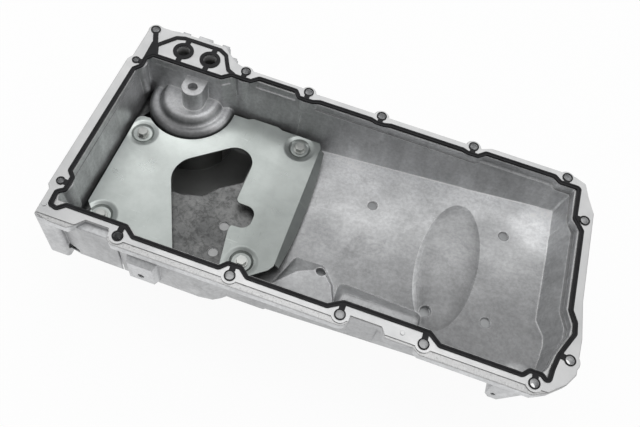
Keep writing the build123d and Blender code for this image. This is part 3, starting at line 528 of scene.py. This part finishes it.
def zinc_plated_steel():
    """Zinc-coated pressed sheet, faintly green, with a rise toward the dome, soft bolt pads and fine lines."""
    tree = Tree("zinc_plated_steel")
    x, y = (tree.part(tree.place, axis) for axis in "XY")
    tint = tree.ramp(tree.noise(9, 4, 0.5), [(0.3, (0.40, 0.43, 0.415, 1)), (0.7, (0.49, 0.52, 0.505, 1))])
    colour = tree.toned(tint, tree.ramp(tree.noise(70, 5, 0.7), [(0.35, 0.94), (0.6, 1.03)]))
    # Painted highlight on the baffle's far left, fading to painted shade toward its near right.
    baffle_shade = tree.between(tree.maths("SUBTRACT", y, x), *BAFFLE_SHADE_SLOPE)
    colour = tree.toned(colour, tree.ramp(baffle_shade, [(0.0, 1.16), (0.4, 0.98), (1.0, 0.72)]))
    # Painted glint round the dome.
    colour = tree.lit(colour, round_spot(tree, DOME_CENTRE, *DOME_GLINT), DOME_GLINT_LIGHT)
    # Painted shade on the baffle's front strip.
    colour = tree.lit(colour, tree.between(x, *BAFFLE_STRIP), BAFFLE_STRIP_SHADE)
    colour = tree.toned(colour, scratches(tree))
    roughness = tree.ramp(tree.noise(22, 5, 0.6), [(0.3, 0.26), (0.7, 0.38)])
    lines = tree.noise(5, 3, 0.6, tree.stretched((300, 8, 8)))
    normal = tree.bump(lines, 0.06 * MM, 0.35, tree.soft_edges(0.5 * MM))
    normal = tree.bump(tree.noise(11, 2, 0.5), 5 * MM, 0.4, normal)
    normal = tree.bump(round_spot(tree, DOME_CENTRE, *DOME_BEND), 3.5 * MM, 1.0, normal)
    around_pads = tree.maths("SUBTRACT", 1.0, spots(tree, BAFFLE_BOLTS, *BOLT_PAD))
    normal = tree.bump(around_pads, 2.2 * MM, 1.0, normal)
    return tree.finish(colour, roughness, 0.95, normal)


def bolt_steel():
    """Plated fastener steel."""
    tree = Tree("bolt_steel")
    colour = tree.ramp(tree.noise(150, 4), [(0.3, (0.42, 0.435, 0.42, 1)), (0.7, (0.55, 0.56, 0.54, 1))])
    roughness = tree.ramp(tree.noise(300, 3), [(0.3, 0.28), (0.7, 0.45)])
    normal = tree.bump(tree.noise(800, 2), 0.1 * MM, 0.3, tree.soft_edges(0.3 * MM))
    return tree.finish(colour, roughness, 0.95, normal)


def plan_centre(node):
    """The middle of a CAD node's box, seen from above."""
    return tuple(sum(corner[axis] for corner in node.bound_box) / len(node.bound_box) for axis in (0, 1))


def clean_copy(node):
    """A copy of a CAD node with its triangles joined into clean faces."""
    mesh = frame["nodes"][node].data.copy()
    work = bmesh.new()
    work.from_mesh(mesh)
    bmesh.ops.remove_doubles(work, verts=work.verts, dist=JOIN_DISTANCE)
    bmesh.ops.dissolve_limit(work, angle_limit=FLAT_ANGLE, verts=work.verts, edges=work.edges)
    work.to_mesh(mesh)
    work.free()
    piece = bpy.data.objects.new(node + ".detailed", mesh)
    bpy.context.scene.collection.objects.link(piece)
    return piece


def apply_modifiers(piece):
    """Turn the modifiers into mesh."""
    bpy.context.view_layer.update()
    shaped = bpy.data.meshes.new_from_object(piece.evaluated_get(bpy.context.evaluated_depsgraph_get()))
    piece.modifiers.clear()
    piece.data = shaped


def shade(piece):
    """Smooth shading that keeps sharp edges sharp."""
    for polygon in piece.data.polygons:
        polygon.use_smooth = True
    piece.data.set_sharp_from_angle(angle=SMOOTH_ANGLE)


def stand_for(piece, node):
    """Let a piece take the place and body of a CAD node, and the material of the node's slot."""
    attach(piece, BODY_OF[node])
    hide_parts(node)
    piece.data.materials.clear()
    piece.data.materials.append(materials[SLOT_OF[node]])


def softened(node, width, segments):
    """A copy of a CAD node with rounded edges, standing for the node."""
    piece = clean_copy(node)
    bevel = piece.modifiers.new("edges", "BEVEL")
    bevel.width = width
    bevel.segments = segments
    bevel.limit_method = "ANGLE"
    bevel.angle_limit = SOFTENED_ANGLE
    bevel.use_clamp_overlap = True
    shade(piece)
    piece.modifiers.new("normals", "WEIGHTED_NORMAL").keep_sharp = True
    apply_modifiers(piece)
    stand_for(piece, node)


def sprung(node):
    """A smooth-shaded copy of a coil spring, standing for the node, with a mesh of its own."""
    piece = clean_copy(node)
    shade(piece)
    stand_for(piece, node)
    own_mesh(piece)


def dress_nodes():
    """Give every CAD node its material."""
    for name, node in frame["nodes"].items():
        node.data.materials.clear()
        node.data.materials.append(materials[SLOT_OF[name]])


def add_camera():
    """Camera at the photograph's place and angle."""
    data = bpy.data.cameras.new("camera")
    data.sensor_width = SENSOR_WIDTH
    data.lens = FOCAL_PIXELS / PICTURE_WIDTH * data.sensor_width
    data.shift_x = (PICTURE_WIDTH / 2 - PRINCIPAL_POINT[0]) / PICTURE_WIDTH
    data.shift_y = (PRINCIPAL_POINT[1] - PICTURE_HEIGHT / 2) / PICTURE_WIDTH
    data.clip_start = CAMERA_NEAR
    camera = bpy.data.objects.new("camera", data)
    forward = Vector((
        math.sin(CAMERA_AZIMUTH) * math.cos(CAMERA_ELEVATION),
        math.cos(CAMERA_AZIMUTH) * math.cos(CAMERA_ELEVATION),
        -math.sin(CAMERA_ELEVATION),
    ))
    level_right = forward.cross(Vector((0, 0, 1))).normalized()
    level_up = level_right.cross(forward)
    right = level_right * math.cos(CAMERA_ROLL) + level_up * math.sin(CAMERA_ROLL)
    turn = Matrix((right, right.cross(forward), -forward)).transposed()
    camera.matrix_world = Matrix.Translation(CAMERA_PLACE) @ turn.to_4x4()
    bpy.context.scene.collection.objects.link(camera)
    bpy.context.scene.camera = camera


def add_lamp(name, place, size, power):
    """A soft rectangular lamp that points at the lamps' target."""
    data = bpy.data.lights.new(name, "AREA")
    data.shape = "RECTANGLE"
    data.size, data.size_y = size
    data.energy = power
    lamp = bpy.data.objects.new(name, data)
    lamp.location = place
    lamp.rotation_euler = (LAMP_TARGET - Vector(place)).to_track_quat("-Z", "Y").to_euler()
    bpy.context.scene.collection.objects.link(lamp)


def add_world():
    """Pale studio surroundings, brightest on the far side, 30 degrees up."""
    world = bpy.data.worlds.new("studio")
    bpy.context.scene.world = world
    world.use_nodes = True
    nodes, links = world.node_tree.nodes, world.node_tree.links
    background = nodes["Background"]
    background.inputs["Color"].default_value = grey(1)
    toward = nodes.new("ShaderNodeVectorMath")
    toward.operation = "DOT_PRODUCT"
    toward.inputs[1].default_value = WORLD_BRIGHT_WAY
    links.new(nodes.new("ShaderNodeTexCoord").outputs["Generated"], toward.inputs[0])
    fade = nodes.new("ShaderNodeMapRange")
    fade.interpolation_type = "SMOOTHSTEP"
    fade.inputs["From Min"].default_value, fade.inputs["From Max"].default_value = WORLD_FADE
    fade.inputs["To Min"].default_value = WORLD_LOW
    fade.inputs["To Max"].default_value = WORLD_HIGH
    links.new(toward.outputs["Value"], fade.inputs["Value"])
    links.new(fade.outputs["Result"], background.inputs["Strength"])


def add_floor():
    """Plain pale floor with the object's shadow, white in view and in reflections, clear from below."""
    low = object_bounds()[0]
    bpy.ops.mesh.primitive_grid_add(
        x_subdivisions=FLOOR_CUTS, y_subdivisions=FLOOR_CUTS, size=FLOOR_SIZE, location=(0, 0, low[2])
    )
    floor = bpy.context.active_object
    floor.name = "floor"
    tree = Tree("floor")
    tree.finish(grey(FLOOR_TONE), 0.7, 0.0)
    white = tree.nodes.new("ShaderNodeEmission")
    white.inputs["Color"].default_value = grey(1)
    white.inputs["Strength"].default_value = 1.0
    ray = tree.nodes.new("ShaderNodeLightPath").outputs
    seen = tree.plus(ray["Is Camera Ray"], ray["Is Glossy Ray"])
    seen = tree.maths("ADD", seen, ray["Is Transmission Ray"], True)
    share = tree.times(seen, FLOOR_WHITE)
    topside = tree.shader_mix(share, tree.shader.outputs["BSDF"], white.outputs["Emission"])
    backside = tree.nodes.new("ShaderNodeNewGeometry").outputs["Backfacing"]
    clear = tree.nodes.new("ShaderNodeBsdfTransparent").outputs["BSDF"]
    surface = tree.shader_mix(backside, topside, clear)
    tree.links.new(surface, tree.nodes["Material Output"].inputs["Surface"])
    floor.data.materials.append(tree.material)


for leftover in list(bpy.data.objects):
    bpy.data.objects.remove(leftover)
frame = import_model()
record = frame["record"]
SLOT_OF = {entry["node"]: entry["material_slot"] for entry in record["subparts"]}
BODY_OF = {node: body for body, members in record["behaviour"]["bodies"].items() for node in members}
BAFFLE_BOLTS = [plan_centre(frame["nodes"][f"baffle_bolt_{number}"]) for number in range(1, 5)]
materials = {
    "cast_aluminium": cast_aluminium(),
    "carrier_aluminium": carrier_aluminium(),
    "black_rubber": black_rubber(),
    "zinc_plated_steel": zinc_plated_steel(),
    "bolt_steel": bolt_steel(),
}

dress_nodes()
for name, edge in SOFTENED.items():
    softened(name, *edge)
for name in sorted(SLOT_OF):
    if SLOT_OF[name] == "bolt_steel" and "spring" not in name:
        softened(name, *FASTENER_EDGE)
sprung("bypass_valve_spring")

add_camera()
add_world()
for lamp in LAMPS:
    add_lamp(*lamp)
add_floor()
bpy.context.scene.view_settings.view_transform = "Standard"
